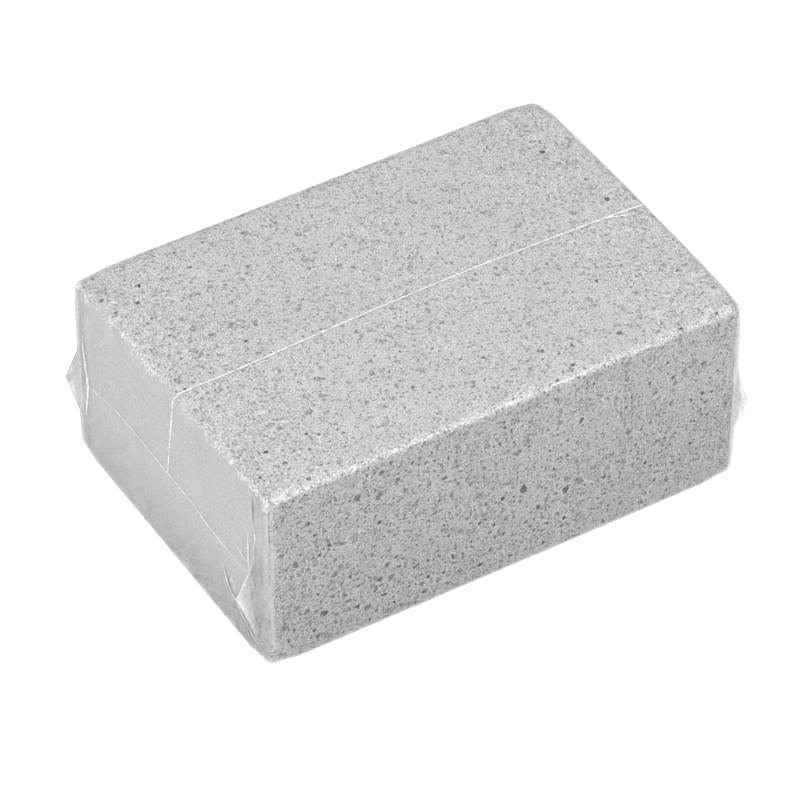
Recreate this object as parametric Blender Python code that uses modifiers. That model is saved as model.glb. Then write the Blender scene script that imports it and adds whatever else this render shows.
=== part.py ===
"""A pumice block in clear shrink film, standing on its largest face.

The block is 10 cm long. X runs along its length, Y across it from front to back, Z up, and the
origin is the middle of the underside. The film is drawn thicker than the real one, because a
solid needs a wall that can be measured.
"""

import math
import random

import bmesh
import bpy
from mathutils import Vector

MM = 0.001

# Driving dimensions
LENGTH = 100.0 * MM  # over the film, without the ears at the corners
WIDTH = 70.0 * MM
HEIGHT = 41.0 * MM
FILM_WALL = 0.2 * MM
CLEARANCE = 0.3 * MM  # between the stone and the film
EDGE_RADIUS = 1.7 * MM  # of the film round the block's edges

# The stone's surface
CELL = 5.2 * MM  # spacing of the points that the pits are cut at
BEVEL_STEPS = 2  # flats that round an edge
SLIDE = 0.27  # how far a point strays along the surface, in cells
DENT = 0.22 * MM  # how far it lies below the surface at most
CRUMBLE = 0.5 * MM  # how far the worn edges are eaten away at most
CHIP_SHARE = 0.14  # of the edges' points are chipped deeper
CHIP_DEPTH = 1.0 * MM
PIT_WIDTHS = (0.62 * MM, 0.85 * MM, 1.15 * MM)  # from the middle to a corner, before straying
PIT_SHARES = (0.26, 0.20, 0.06)  # of the surface's points
PIT_DEPTH = 1.15  # in pit widths
WALL_SHARE = 0.6  # of a wide pit's depth is its steep wall
WALL_RUN = 0.28 * MM  # how far that wall slopes inwards
PIT_STRAY = 0.16  # how far a pit's lowest point lies off its middle, in pit widths

# The film's points and seams
FILM_CELLS = (14.0 * MM, 12.0 * MM)  # spacing of the film's points along X and Y
TOP_SEAM_Y = -0.8 * MM  # at the middle of the top
SEAM_BOW = -1.6 * MM  # how much further along Y it lies where it meets the ends
SEAM_LEAN = 3.2 * MM  # how far it leans back along Y on its way down an end
END_SEAM_Z = 19.0 * MM
SEAM_HALF_WIDTH = 0.55 * MM
SEAM_HEIGHT = 0.35 * MM
VENT_RADIUS = 1.5 * MM
VENT_AT = Vector((22.0 * MM, 18.0 * MM, 0.0))

# The ears: each one's tip, and how far above and below the end seam the film is drawn out to it
EARS = {
    (-1, -1): (Vector((-55.5, -32.8, 18.7)) * MM, 10.5 * MM, 14.5 * MM),
    (-1, 1): (Vector((-52.5, 34.7, 18.2)) * MM, 4.5 * MM, 9.6 * MM),
    (1, -1): (Vector((51.6, -35.8, 17.0)) * MM, 8.8 * MM, 9.0 * MM),
    (1, 1): (Vector((55.5, 35.8, 17.6)) * MM, 9.0 * MM, 9.0 * MM),
}
EAR_CUTS = (1.0, 0.66, 0.33)  # heights of the rows of points above and below the seam, in reaches
EAR_CELL = 10.8 * MM  # a row of points this far from the block's sides closes off each corner
EAR_ROOM = 12.0 * MM  # faces nearer than this to an upright corner get the ear's rows
EAR_FOOT = 0.45  # how far from the middle of the rounded edge a point is still drawn out, in radii

TINY = 0.01 * MM  # points this near to a plane lie on it

STONE_GREY = (0.52, 0.52, 0.515, 1.0)
FILM_WHITE = (0.93, 0.93, 0.93, 0.25)


def clear_scene():
    for thing in list(bpy.data.objects):
        bpy.data.objects.remove(thing, do_unlink=True)


def material(name, colour, roughness):
    made = bpy.data.materials.new(name)
    made.use_nodes = True
    shader = made.node_tree.nodes["Principled BSDF"]
    shader.inputs["Base Color"].default_value = colour
    shader.inputs["Alpha"].default_value = colour[3]
    shader.inputs["Roughness"].default_value = roughness
    shader.inputs["Metallic"].default_value = 0.0
    made.diffuse_color = colour
    return made


def rounded_block(size, bottom, radius):
    """A block standing at the height bottom, all its edges rounded."""
    bm = bmesh.new()
    bmesh.ops.create_cube(bm, size=1.0)
    bmesh.ops.scale(bm, vec=size, verts=bm.verts)
    bmesh.ops.translate(bm, vec=(0.0, 0.0, bottom + size.z / 2), verts=bm.verts)
    bmesh.ops.bevel(
        bm, geom=list(bm.edges), offset=radius, segments=BEVEL_STEPS, profile=0.5, affect="EDGES"
    )
    return bm


def cut_along(bm, axis, pieces, shortest):
    """Cuts every edge that runs along an axis, and is longer than shortest, into equal pieces."""
    along = []
    for edge in bm.edges:
        run = edge.verts[1].co - edge.verts[0].co
        if abs(run[axis]) > shortest and abs(run[axis]) > 0.99 * run.length:
            along.append(edge)
    bmesh.ops.subdivide_edges(bm, edges=along, cuts=pieces - 1, use_grid_fill=True)


def roughen(bm, size, radius, rng):
    """Strays the points over the faces and eats the edges away, never past the plain block.

    Returns the points that lie on a flat face, clear of its edges.
    """
    bm.normal_update()
    half = size / 2
    middle = Vector((0.0, 0.0, HEIGHT / 2))
    moves = []
    for vert in bm.verts:
        place = vert.co - middle
        free = [axis for axis in range(3) if abs(place[axis]) < half[axis] - radius - TINY]
        move = Vector((0.0, 0.0, 0.0))
        for axis in free:
            move[axis] = rng.uniform(-SLIDE, SLIDE) * CELL
        flat = len(free) == 2
        depth = rng.uniform(0.0, DENT)
        if not flat:
            depth = rng.uniform(0.0, CRUMBLE)
            if rng.random() < CHIP_SHARE:
                depth = rng.uniform(CRUMBLE, CHIP_DEPTH)
        moves.append((vert, move - vert.normal * depth, flat))
    for vert, move, flat in moves:
        vert.co += move
    return [vert for vert, move, flat in moves if flat]


def cut_pits(bm, points, width, rng):
    """Opens the surface at the points and draws a rough cone inwards from each opening."""
    opened = bmesh.ops.bevel(
        bm, geom=points, offset=width, segments=1, profile=0.5, affect="VERTICES"
    )
    mouths = [face for face in opened["faces"] if face.is_valid]
    depth = PIT_DEPTH * width
    if width == PIT_WIDTHS[-1]:
        wall = WALL_SHARE * depth
        bmesh.ops.inset_individual(bm, faces=mouths, thickness=WALL_RUN, depth=-wall)
        depth -= wall
    poked = bmesh.ops.poke(bm, faces=mouths, offset=-depth)
    for vert in poked["verts"]:
        stray = Vector((rng.uniform(-1, 1), rng.uniform(-1, 1), rng.uniform(-1, 1)))
        vert.co += stray * PIT_STRAY * width


def build_stone():
    rng = random.Random(7)
    wall = FILM_WALL + CLEARANCE
    size = Vector((LENGTH - 2 * wall, WIDTH - 2 * wall, HEIGHT - 2 * wall))
    radius = EDGE_RADIUS - wall
    bm = rounded_block(size, wall, radius)
    for axis in range(3):
        cut_along(bm, axis, round(size[axis] / CELL), 2 * CELL)
    points = roughen(bm, size, radius, rng)
    bmesh.ops.triangulate(bm, faces=list(bm.faces), quad_method="FIXED")
    rng.shuffle(points)
    start = 0
    for width, share in zip(PIT_WIDTHS, PIT_SHARES):
        end = start + int(share * len(points))
        cut_pits(bm, points[start:end], width, rng)
        start = end
    bmesh.ops.triangulate(bm, faces=[face for face in bm.faces if len(face.verts) > 4])
    mesh = bpy.data.meshes.new("pumice_stone")
    bm.to_mesh(mesh)
    bm.free()
    mesh.materials.append(material("pumice", STONE_GREY, 0.95))
    return bpy.data.objects.new("pumice_stone", mesh)


def cut_plane(bm, faces, point, axis):
    """Cuts the faces where a plane across one axis meets them."""
    normal = Vector((0.0, 0.0, 0.0))
    normal[axis] = 1.0
    verts = dict.fromkeys(vert for face in faces for vert in face.verts)
    edges = dict.fromkeys(edge for face in faces for edge in face.edges)
    geom = [*verts, *edges, *faces]
    bmesh.ops.bisect_plane(bm, geom=geom, dist=1e-7, plane_co=point, plane_no=normal)


def on_end(vert):
    return abs(vert.co.x) > LENGTH / 2 - EDGE_RADIUS


def near_corner(face, side):
    """Whether a face lies wholly near one of the four upright corners."""
    for vert in face.verts:
        gap_x = LENGTH / 2 - side[0] * vert.co.x
        gap_y = WIDTH / 2 - side[1] * vert.co.y
        if max(gap_x, gap_y) > EAR_ROOM:
            return False
    return True


def cut_rows(bm):
    """Makes the rows of points that the seams and the ears need."""
    for step in (-1, 0, 1):
        cut_plane(bm, bm.faces[:], (0.0, TOP_SEAM_Y + step * SEAM_HALF_WIDTH, 0.0), 1)
        cut_plane(bm, bm.faces[:], (0.0, 0.0, END_SEAM_Z + step * SEAM_HALF_WIDTH), 2)
    for side in (-1, 1):
        cut_plane(bm, bm.faces[:], (side * (LENGTH / 2 - EAR_CELL), 0.0, 0.0), 0)
        cut_plane(bm, bm.faces[:], (0.0, side * (WIDTH / 2 - EAR_CELL), 0.0), 1)
    for side, (tip, above, below) in EARS.items():
        for share in EAR_CUTS:
            for height in (END_SEAM_Z + share * above, END_SEAM_Z - share * below):
                faces = [face for face in bm.faces if near_corner(face, side)]
                cut_plane(bm, faces, (0.0, 0.0, height), 2)


def raise_seams(bm):
    """Lifts the middle row of points of the seams, and bends the top seam as it runs."""
    bm.normal_update()
    lifts = []
    for vert in bm.verts:
        across = abs(vert.co.y - TOP_SEAM_Y)
        above_end_seam = vert.co.z > END_SEAM_Z - TINY
        on_end_seam = abs(vert.co.z - END_SEAM_Z) < TINY and on_end(vert)
        if (across < TINY and above_end_seam) or on_end_seam:
            lifts.append((vert, vert.normal * SEAM_HEIGHT))
        if across < SEAM_HALF_WIDTH + TINY and above_end_seam:
            down = (HEIGHT - vert.co.z) / (HEIGHT - END_SEAM_Z)
            bend = SEAM_BOW * (2 * vert.co.x / LENGTH) ** 2 + SEAM_LEAN * down
            lifts.append((vert, Vector((0.0, bend, 0.0))))
    for vert, lift in lifts:
        vert.co += lift


def draw_ears(bm):
    """Draws the film out to a tip at each upright corner, like a folded triangle."""
    corner_x = LENGTH / 2 - EDGE_RADIUS * (1 - math.sqrt(0.5))
    corner_y = WIDTH / 2 - EDGE_RADIUS * (1 - math.sqrt(0.5))
    for vert in bm.verts:
        off_x = abs(abs(vert.co.x) - corner_x)
        off_y = abs(abs(vert.co.y) - corner_y)
        if max(off_x, off_y) > EAR_FOOT * EDGE_RADIUS:
            continue
        side = (int(math.copysign(1, vert.co.x)), int(math.copysign(1, vert.co.y)))
        tip, above, below = EARS[side]
        height = vert.co.z - END_SEAM_Z
        share = abs(height) / (above if height > 0 else below)
        if share < 1:
            foot = Vector((vert.co.x, vert.co.y, END_SEAM_Z))
            vert.co += (tip - foot) * (1 - share)


def open_vent(bm):
    """A punched hole in the underside, which lets the air out as the film shrinks."""
    nearest = min(bm.verts, key=lambda vert: (vert.co - VENT_AT).length)
    opened = bmesh.ops.bevel(
        bm, geom=[nearest], offset=VENT_RADIUS, segments=1, profile=0.5, affect="VERTICES"
    )
    holes = [face for face in opened["faces"] if face.is_valid]
    bmesh.ops.delete(bm, geom=holes, context="FACES")


def build_film():
    size = Vector((LENGTH, WIDTH, HEIGHT)) - 2 * Vector((FILM_WALL, FILM_WALL, FILM_WALL))
    bm = rounded_block(size, FILM_WALL, EDGE_RADIUS - FILM_WALL)
    for axis, spacing in enumerate(FILM_CELLS):
        cut_along(bm, axis, round(size[axis] / spacing), 2 * spacing)
    cut_rows(bm)
    raise_seams(bm)
    draw_ears(bm)
    open_vent(bm)
    mesh = bpy.data.meshes.new("shrink_film")
    bm.to_mesh(mesh)
    bm.free()
    mesh.materials.append(material("clear film", FILM_WHITE, 0.15))
    film = bpy.data.objects.new("shrink_film", mesh)
    wall = film.modifiers.new("wall", "SOLIDIFY")
    wall.thickness = FILM_WALL
    wall.offset = 1.0
    return film


def main():
    clear_scene()
    collection = bpy.data.collections.new("pumice block in film")
    bpy.context.scene.collection.children.link(collection)
    for build in (build_stone, build_film):
        collection.objects.link(build())


main()
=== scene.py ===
import math
import random

import bpy
import numpy as np
from mathutils import Euler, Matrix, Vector, noise
from mathutils.geometry import delaunay_2d_cdt


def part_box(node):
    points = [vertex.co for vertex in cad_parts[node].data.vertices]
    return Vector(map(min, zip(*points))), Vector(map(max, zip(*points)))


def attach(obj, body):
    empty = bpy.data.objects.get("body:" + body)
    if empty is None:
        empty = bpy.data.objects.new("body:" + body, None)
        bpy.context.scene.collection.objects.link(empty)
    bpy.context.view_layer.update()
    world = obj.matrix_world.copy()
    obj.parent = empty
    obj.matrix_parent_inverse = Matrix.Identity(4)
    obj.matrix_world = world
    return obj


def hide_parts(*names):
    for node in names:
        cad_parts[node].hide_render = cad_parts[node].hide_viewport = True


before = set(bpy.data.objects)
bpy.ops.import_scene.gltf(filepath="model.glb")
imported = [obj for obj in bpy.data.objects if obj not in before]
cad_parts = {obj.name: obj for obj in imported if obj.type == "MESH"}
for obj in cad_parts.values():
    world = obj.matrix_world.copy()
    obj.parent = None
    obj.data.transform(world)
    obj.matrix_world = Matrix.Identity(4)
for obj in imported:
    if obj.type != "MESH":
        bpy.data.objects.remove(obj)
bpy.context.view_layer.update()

# Everything below is in millimetres until a mesh is made. X runs along the block, Y across it
# from front to back, Z up.
MM = 0.001

# The block, from the stone's solid and the wall and gap of the film's solid round it
FILM_ALLOWANCE = 0.5
stone_low, stone_high = (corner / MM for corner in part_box("pumice_stone"))
BLOCK = np.array([
    stone_high.x - stone_low.x + 2 * FILM_ALLOWANCE,
    stone_high.y - stone_low.y + 2 * FILM_ALLOWANCE,
    stone_high.z + FILM_ALLOWANCE,
])
MIDDLE = np.array([0.0, 0.0, BLOCK[2] / 2])
FILM_INSET = 0.06  # how far the film's faces lie inside the block's, and then the stone's
STONE_INSET = np.array([0.24, 0.15, 0.15])
FILM_HALF = BLOCK / 2 - FILM_INSET
STONE_HALF = BLOCK / 2 - STONE_INSET

# The camera that took the photograph: it looks down at the front and the left end
CAMERA_PLACE = Vector((-411.07, -674.13, 739.43))
CAMERA_AZIMUTH = -31.289
CAMERA_ELEVATION = 42.566
CAMERA_TURN = (math.radians(90 - CAMERA_ELEVATION), 0.0, math.radians(CAMERA_AZIMUTH))
CAMERA_PIXELS = 5833.8  # focal length in pixels of the picture
FRAME_PIXELS = 800
SENSOR = 36.0

# Rounding of the block's edges: small along the horizontal ones, larger at the upright ones,
# where the film spans the stone's worn edge
EDGE_RADIUS = 1.0
LOWER_SHARE = 0.5  # radius of the edges round the underside, as a share of those round the top
STONE_UPRIGHT_RADIUS = 2.3
FILM_EDGE_RADIUS = 1.15
FILM_UPRIGHT_RADIUS = 1.2
UPRIGHT_FROM = 1.5  # distances from an upright edge between which the radius changes over
UPRIGHT_TO = 7.0
CORNER_RADII = np.array([[1.9, 1.7], [1.7, 2.5]])  # left and right ends, each at front and back
CORNER_FROM = 1.5  # distances from a corner between which its rounding runs out
CORNER_TO = 7.5
BOW = (0.53, -0.05, -0.58)  # bulge of the right end: at its middle, then its slope and curve
SAG = 0.22  # how far the top dips half-way along the block
DROP = 0.6  # how far the worn top corner at the back left lies low
DROP_REACH = 7.0
LEAN = 0.45  # how much further out the front right edge is at its top than at its foot

# Six faces: the axis each one faces along, its side, and two axes along it that turn outwards
FACES = (
    (2, 1, 0, 1),
    (2, -1, 1, 0),
    (0, 1, 1, 2),
    (0, -1, 2, 1),
    (1, 1, 2, 0),
    (1, -1, 0, 2),
)

# The pores that are cut in the stone; the finer ones are in its material
TOP, UNDERSIDE, RIGHT_END, LEFT_END, BACK, FRONT = FACES
PORE_DENSITY = {TOP: 0.34, UNDERSIDE: 0.17, RIGHT_END: 0.22, LEFT_END: 0.26, BACK: 0.34, FRONT: 0.66}
PORE_MIDDLING = 0.19  # radius that half of the pores are under
PORE_SPREAD = 0.46
PORE_LEAST = 0.13
PORE_MOST = 0.75
PORE_GAP = 0.12
PORE_KEEP = 0.35  # least distance of a pore's middle from the face's edge
PORE_TRIES = 12
SHALLOW_SHARE = 0.45  # of the pores are little more than dents
PORE_RIMS = ((0.24, 6), (0.36, 7), (0.5, 9), (math.inf, 13))  # points round a pore under each size
BOWL_POINTS = 9  # pores with so many points or more are bowls, and the smaller ones cones
RASTER = 0.1  # spacing of the map that keeps pores apart
FILLERS = {TOP: 1.2, UNDERSIDE: 0.5, RIGHT_END: 0.6, LEFT_END: 0.6, BACK: 0.6, FRONT: 1.2}

# Pits large or dark enough to be told apart in the photograph, on the front and on the top, read
# off it: the pixel where each one shows (column, row), half its width and half its height on the
# stone, and how dark it is. The darker they are, the deeper they go.
MARKED_PITS = {
    FRONT: (
        (523.5, 488.5, 0.62, 1.1, 0.75), (502.5, 498, 0.46, 0.36, 1), (565, 489, 0.56, 0.78, 0.75),
        (538, 506.5, 0.46, 0.56, 0.75), (379, 522, 0.46, 0.4, 0.9), (314, 535, 0.34, 0.34, 0.75),
        (329, 544.5, 0.36, 0.4, 0.8), (379.5, 579, 0.44, 0.5, 0.65), (350, 576, 0.38, 0.38, 0.75),
        (357.5, 606, 0.4, 0.36, 1), (367.5, 607.5, 0.66, 0.6, 0.5), (350, 615, 0.85, 0.58, 0.55),
        (332.5, 596, 0.38, 0.38, 0.65), (314, 630, 0.38, 0.36, 0.85), (317.5, 636, 0.46, 0.4, 0.5),
        (384, 594, 0.56, 0.32, 0.8), (330, 635, 0.56, 0.48, 0.35), (444, 477.5, 0.6, 0.3, 0.55),
        (458, 483, 0.3, 0.3, 0.7), (412, 462.5, 0.32, 0.32, 0.6), (484, 467, 0.32, 0.32, 0.6),
        (439, 500, 0.3, 0.32, 0.7), (479.5, 522.5, 0.4, 0.3, 0.8), (485, 519, 0.3, 0.3, 0.8),
        (494, 524, 0.3, 0.5, 0.65), (564, 517.5, 0.38, 0.38, 0.95), (561, 525.5, 0.28, 0.28, 0.85),
        (547, 522.5, 0.34, 0.28, 0.65), (543, 542, 0.36, 0.36, 0.8), (480, 564, 0.68, 0.34, 0.75),
        (452.5, 556, 0.28, 0.68, 0.7), (428, 576, 0.38, 0.38, 0.9), (428, 560, 0.3, 0.3, 0.75),
        (510, 555, 0.36, 0.36, 0.6), (471, 541, 0.3, 0.3, 0.6), (424, 591, 0.5, 0.46, 0.55),
        (672, 377.5, 0.34, 0.46, 0.65), (593, 383, 0.36, 0.36, 0.65), (649.5, 383, 0.3, 0.42, 0.6),
        (702.5, 393, 0.32, 0.4, 0.7), (707, 414, 0.32, 0.32, 0.7), (664, 438, 0.46, 0.3, 0.6),
        (690.5, 443, 0.32, 0.32, 0.7), (636, 444, 0.3, 0.38, 0.55), (604, 476, 0.36, 0.44, 0.75),
        (645, 462, 0.28, 0.28, 0.8), (654, 480, 0.36, 0.28, 0.7), (567, 455, 0.36, 0.36, 0.6),
        (717, 370, 0.36, 0.28, 0.65), (553.5, 468, 0.3, 0.3, 0.7), (328, 549.5, 0.28, 0.3, 0.65),
        (319, 554.5, 0.38, 0.36, 0.5), (396, 556.5, 0.34, 0.3, 0.8), (373.5, 546, 0.5, 0.42, 0.35),
        (398.5, 566, 0.5, 0.26, 0.6), (413.5, 567, 0.32, 0.3, 0.65), (443.5, 572, 0.34, 0.28, 0.7),
        (358.5, 585, 0.26, 0.26, 0.7), (394, 601.5, 0.3, 0.26, 0.75), (376, 610, 0.48, 0.3, 0.5),
        (456, 460, 0.4, 0.38, 0.35), (565, 502, 0.46, 0.36, 0.35), (709.5, 377.5, 0.28, 0.34, 0.55),
        (711.5, 391, 0.3, 0.34, 0.55), (690, 399, 0.3, 0.3, 0.5), (670, 443.5, 0.28, 0.26, 0.65),
        (650.5, 465, 0.28, 0.26, 0.65), (625.5, 407, 0.3, 0.38, 0.5), (667, 362.5, 0.32, 0.34, 0.5),
        (657, 464.5, 0.26, 0.26, 0.6), (694, 420.5, 0.24, 0.24, 0.65), (631, 397, 0.28, 0.3, 0.45),
    ),
    TOP: (
        (139, 285.5, 0.4, 0.38, 1), (137.5, 303, 0.44, 0.4, 0.9), (116, 313, 0.36, 0.32, 0.7),
        (122, 294, 0.28, 0.26, 0.65), (170, 335.5, 0.38, 0.28, 0.6), (211, 334.5, 0.48, 0.44, 0.55),
        (246, 341, 0.36, 0.34, 0.8), (185, 389.5, 0.34, 0.3, 0.95), (190, 267, 0.42, 0.32, 0.6),
        (209, 281, 0.3, 0.28, 0.65), (225, 265, 0.28, 0.26, 0.65), (541, 152.5, 0.44, 0.48, 0.9),
        (605, 200, 0.48, 0.44, 0.9), (545.5, 264, 0.32, 0.34, 0.6), (595, 281, 0.32, 0.36, 0.75),
        (495, 245.5, 0.28, 0.26, 0.7), (541.5, 219, 0.24, 0.24, 0.65), (675, 271.5, 0.26, 0.3, 0.75),
        (618.5, 333, 0.44, 0.38, 0.85), (682, 331, 0.4, 0.32, 0.95), (716, 313, 0.36, 0.26, 0.8),
        (266, 452, 0.4, 0.38, 1), (306, 434, 0.3, 0.28, 0.85), (319, 434, 0.3, 0.28, 0.85),
        (285, 463, 0.4, 0.36, 0.8), (309, 478, 0.38, 0.34, 0.7), (260, 478, 0.3, 0.28, 0.85),
        (309.5, 449, 0.3, 0.28, 0.7), (257.5, 469.5, 0.32, 0.28, 0.6), (483, 357, 0.36, 0.34, 0.75),
        (460, 359, 0.3, 0.26, 0.75), (571, 345, 0.34, 0.28, 0.75), (572.5, 364.5, 0.34, 0.3, 0.95),
        (558.5, 381.5, 0.34, 0.26, 0.95), (558.5, 353.5, 0.26, 0.26, 0.7), (527, 360.5, 0.36, 0.3, 0.55),
        (542.5, 358.5, 0.26, 0.26, 0.65), (412.5, 386.5, 0.32, 0.28, 0.75),
        (429.5, 392, 0.28, 0.26, 0.65), (473.5, 386, 0.46, 0.38, 0.5), (405, 407, 0.28, 0.26, 0.6),
        (513, 398.5, 0.34, 0.24, 0.6),
    ),
}
MARKED_SPREAD = 1.15  # makes up for the rough rims, which lie inside these sizes
MARKED_LEAN = 0.15
MARKED_MARGIN = 0.4  # of whole stone between such a pit and the face's edge
MARKED_DEPTH = (0.1, 0.8)  # the depth of such a pit, and how much it grows with the darkness
FACE_SUNK = 0.15  # how far inside the sharp-edged block such a pit is taken to be seen
EDGE_STOP = 0.75  # spacing of the points along the block's edges
EDGE_ROWS = (0.55, 1.2, 2.1)  # rows of points beside them, which the rounding bends
GRAIN = 0.06  # how far the surface's points lie in or out
CRUMBLE = 0.42  # how far the edges are eaten away

# The film
FILM_SPACING = (1.6, 0.75, 0.62)  # of its grid lines along X, Y and Z, away from the block's edges
FILM_NEAR = (  # distances of its grid lines from the block's edges
    0.0, 0.2, 0.4, 0.6, 0.85, 1.15, 1.5, 1.9, 2.25, 2.6, 2.95, 3.3, 3.6, 3.9, 4.2, 4.5, 4.85, 5.25,
    5.75, 6.3, 7.0,
)
END_SEAL_Z = 19.0
TOP_SEAM = (  # places (x, y) along the top
    (-50.0, -2.7), (-47.0, -2.3), (-37.0, -2.3), (-27.0, -1.8), (-16.0, -1.3), (-6.0, -1.0),
    (4.0, -0.8), (14.0, -0.7), (24.0, -1.0), (35.0, -1.3), (45.0, -1.8), (50.0, -2.1),
)
FORK = ((40.5, -1.5), (42.5, -2.0), (44.5, -2.8), (47.2, -3.6))  # a loose edge beside the seam
END_SEAM = (  # places (y, z) down the left end, from its top to the end seal
    (-2.5, 40.3), (-1.9, 36.0), (-1.3, 31.9), (-0.4, 26.3), (0.3, 21.0), (0.5, 19.8),
)
END_SEAL = (  # places (y, z) across the left end
    (33.0, 18.0), (31.0, 18.3), (29.0, 18.4), (24.6, 19.2), (17.6, 20.2), (6.2, 20.1),
    (0.5, 19.8), (-9.0, 19.7), (-14.0, 18.6), (-16.1, 18.6), (-22.0, 18.2), (-28.0, 18.4),
)
BEAD_WIDTH = 0.30
BEAD_SIDES = 6

# The ears: each one's tip, how far above and below it the film is drawn out, how hollow its
# outline is above and below, and how far from the upright edge, on the end, it leaves the block
EARS = {
    (-1, -1): (Vector((-55.3, -32.6, 18.7)), (10.6, 14.2), (2.1, 1.05), 3.9),
    (-1, 1): (Vector((-52.4, 34.6, 18.2)), (7.0, 9.8), (0.85, 1.0), 1.6),
    (1, -1): (Vector((52.2, -35.7, 15.9)), (12.0, 5.4), (1.7, 1.7), 0.0),
    (1, 1): (Vector((55.3, 35.6, 17.6)), (9.0, 9.0), (1.3, 1.1), 2.6),
}
CREST_ROOT = 3.0  # an ear that leaves the end further than this from the edge shows its rim there

# Creases in the film, as places (y, z) on the left end, each with its width; the shades are dark
# beads that paint the shadows under loose edges of film
CREASES = (
    (((-28.6, 29.0), (-28.5, 25.0), (-28.5, 21.8), (-29.2, 18.6), (-30.4, 16.4), (-30.4, 12.4)), 0.55),
    (((-30.6, 31.8), (-31.1, 29.5), (-30.8, 27.5), (-30.3, 26.0)), 0.45),
    (((-18.8, 14.2), (-20.4, 10.2), (-22.8, 8.2), (-28.1, 4.4), (-32.0, 3.0)), 0.4),
    (((-21.9, 12.4), (-23.6, 10.4)), 0.35),
    (((-24.0, 22.6), (-26.5, 21.2), (-28.4, 21.4)), 0.35),
    (((31.4, 28.0), (31.1, 25.0), (30.5, 21.5), (29.9, 18.9), (30.4, 15.0), (31.4, 9.8)), 0.75),
)
SHADES = (
    (((-19.6, 13.6), (-21.2, 9.8), (-23.4, 7.4), (-28.3, 3.6), (-32.2, 2.2)), 0.3),
    (((-30.4, 38.5), (-30.5, 35.5), (-30.3, 33.0)), 0.3),
)

# Tones of the stone, from black at 0 to white at 1, or as a share of the stone's own
PUMICE_TONE = 0.55
GRAIN_TONES = (-0.35, 0.41)
# Painted shade: the stone is darker towards its foot
FOOT_SHADE = 0.92
# Painted shade in the pinholes, the wider hollows and the pits
PAINTED_PINHOLE_SHADE = 0.54
PAINTED_HOLLOW_SHADE = 0.72
PAINTED_PIT_SHADE = 0.10
TOP_CALM = 0.85  # pinholes and hollows are a little fainter on the top
FOOT_SHADE_FROM = 4.0  # heights between which the painted shade at the foot runs out
FOOT_SHADE_TO = 30.0

# The film's cover, from clear at 0 to white at 1
MILK_COVER = (0.48, 0.54)
PINCH_COVER = (0.34, 0.62)
CREST_COVER = 0.8
# haze and painted sheen at the far edges
HAZE_AND_SHEEN_COVER = 0.6
# painted highlights: the broken glints
PAINTED_GLINT_COVER = 0.9
LEAST_COVER = 0.05
FILM_IOR = 1.35
FILM_GLOW = 0.42  # share of the light on a covered place that comes through it

# The studio, in metres: each light's direction from the block, distance, size and power
LIGHTS = {
    "overhead": ((-0.28, -0.46, 1.0), 1.1, 0.8, 11.0),
    "edge_glint": ((0.385, -0.679, 0.625), 1.3, 0.35, 2.2),
}
LIGHTS_AIM = Vector((0.0, 0.0, 0.02))
SKY_STRENGTH = 0.66
FLOOR_SIZE = 6.0
FLOOR_HEIGHT = -0.0002
FLOOR_GLOW = 0.4


def smooth_step(low, high, value):
    part = np.clip((value - low) / (high - low), 0.0, 1.0)
    return part * part * (3 - 2 * part)


def fade(distance, reach):
    """1 at no distance, falling off smoothly to almost nothing at twice the reach."""
    return np.exp(-(distance / reach) ** 2)


def noise_at(points, scale, shift):
    """Smooth noise between about -1 and 1 at each point."""
    return np.array([noise.noise(Vector(point) / scale + Vector(shift)) for point in points])


def round_block(points, half, edge_radius, upright_radius):
    """Bends points on a sharp-edged block, about its middle, to the rounded block.

    Returns the bent points and their outward directions.
    """
    gap = half - np.abs(points)
    change = smooth_step(UPRIGHT_FROM, UPRIGHT_TO, np.max(gap[:, :2], axis=1))
    level_radius = edge_radius * np.where(points[:, 2] < 0, LOWER_SHARE, 1)
    radius = upright_radius + (level_radius - upright_radius) * change
    change = smooth_step(CORNER_FROM, CORNER_TO, np.max(gap, axis=1))
    corner = CORNER_RADII[(points[:, 0] > 0).astype(int), (points[:, 1] > 0).astype(int)]
    radius = (corner + (radius - corner) * change)[:, None]
    inner = np.clip(points, -(half - radius), half - radius)
    away = points - inner
    normals = away / np.linalg.norm(away, axis=1)[:, None]
    return inner + normals * radius, normals


def round_film(points):
    return round_block(points, FILM_HALF, FILM_EDGE_RADIUS, FILM_UPRIGHT_RADIUS)


def bow(points):
    """The block isn't quite square: its right end bows and leans, and its top dips a little."""
    across = points[:, 1] / (BLOCK[1] / 2)
    along = points[:, 0] / (BLOCK[0] / 2)
    up = points[:, 2] / BLOCK[2] + 0.5
    bent = points.copy()
    bent[:, 0] += (BOW[0] + BOW[1] * across + BOW[2] * across**2) * np.clip(along, 0, 1)
    bent[:, 0] += LEAN * (up - 0.5) * np.clip(along, 0, 1) * np.clip(-across, 0, 1)
    bent[:, 2] -= SAG * (1 - along**2) * np.clip(up, 0, 1)
    from_corner = np.hypot(points[:, 0] + BLOCK[0] / 2, points[:, 1] - BLOCK[1] / 2)
    bent[:, 2] -= DROP * fade(from_corner, DROP_REACH) * np.clip(up, 0, 1)
    return bent


def mesh_object(name, points, faces):
    mesh = bpy.data.meshes.new(name)
    mesh.from_pydata((np.asarray(points) * MM).tolist(), [], faces)
    mesh.polygons.foreach_set("use_smooth", [True] * len(mesh.polygons))
    mesh.update()
    made = bpy.data.objects.new(name, mesh)
    bpy.context.scene.collection.objects.link(made)
    return made


# The stone


def edge_stops(axis, sides, half):
    """Points along one of the twelve edges, the same for both faces that meet there."""
    rng = random.Random(1000 + 100 * axis + 10 * (sides[0] + 1) + sides[1])
    count = round(2 * half[axis] / EDGE_STOP)
    step = 2 * half[axis] / count
    stops = [-half[axis]]
    for i in range(1, count):
        stops.append(-half[axis] + (i + rng.uniform(-0.3, 0.3)) * step)
    stops.append(half[axis])
    return stops


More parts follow.
